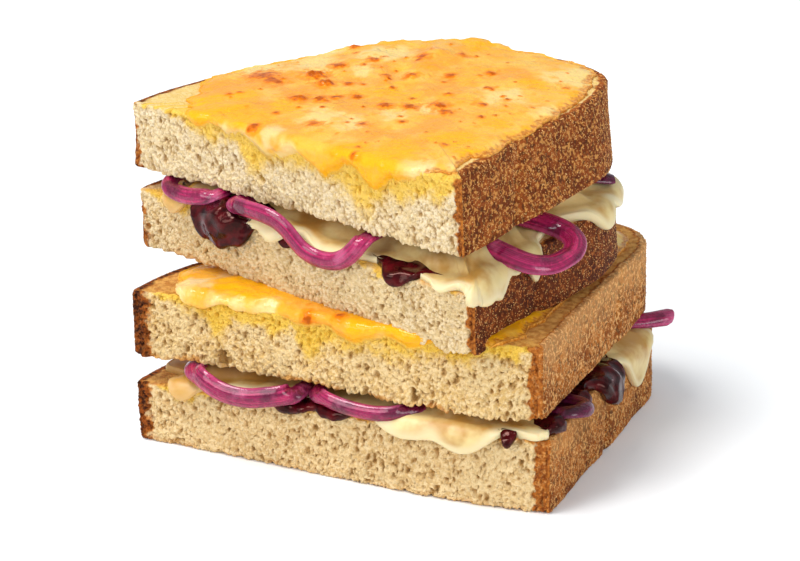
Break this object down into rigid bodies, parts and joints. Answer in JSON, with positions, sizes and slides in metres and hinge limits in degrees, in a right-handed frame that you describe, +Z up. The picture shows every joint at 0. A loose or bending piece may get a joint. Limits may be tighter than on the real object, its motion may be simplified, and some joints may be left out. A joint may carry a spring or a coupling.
{
  "type": "grilled cheese sandwich",
  "caption": "Toasted cheese sandwich cut in two and stacked, with melted cheese, dark chutney and red onion at the cut sides and more cheese grilled on top of each half.",
  "frame": {"origin": "centre of the bounding box, on the surface that the lowest slice lies on", "axes": "+Z up; -Y faces the cut side of the lower half; +X faces the lower half's base crust"},
  "size_m": [0.1121, 0.092, 0.0827],
  "materials": {
    "toasted_bread": "porous cream crumb with a toasted brown crust",
    "grilled_cheese": "browned and slightly oily",
    "melted_cheese": "satin, slightly translucent",
    "chutney": "wet and glossy",
    "red_onion": "satin, softened, with lengthwise fibres"
  },
  "bodies": {
    "root": {"bread_slice_1": "toasted_bread", "bread_slice_2": "toasted_bread", "bread_slice_3": "toasted_bread", "bread_slice_4": "toasted_bread", "grilled_cheese_top": "grilled_cheese", "grilled_cheese_middle": "grilled_cheese", "melted_cheese_upper": "melted_cheese", "melted_cheese_lower": "melted_cheese", "chutney_upper": "chutney", "chutney_lower": "chutney", "onion_upper_left": "red_onion", "onion_upper_front": "red_onion", "onion_upper_ring": "red_onion", "onion_upper_back": "red_onion", "onion_lower_left": "red_onion", "onion_lower_front": "red_onion", "onion_lower_side": "red_onion", "onion_lower_back": "red_onion"}
  },
  "joints": []
}
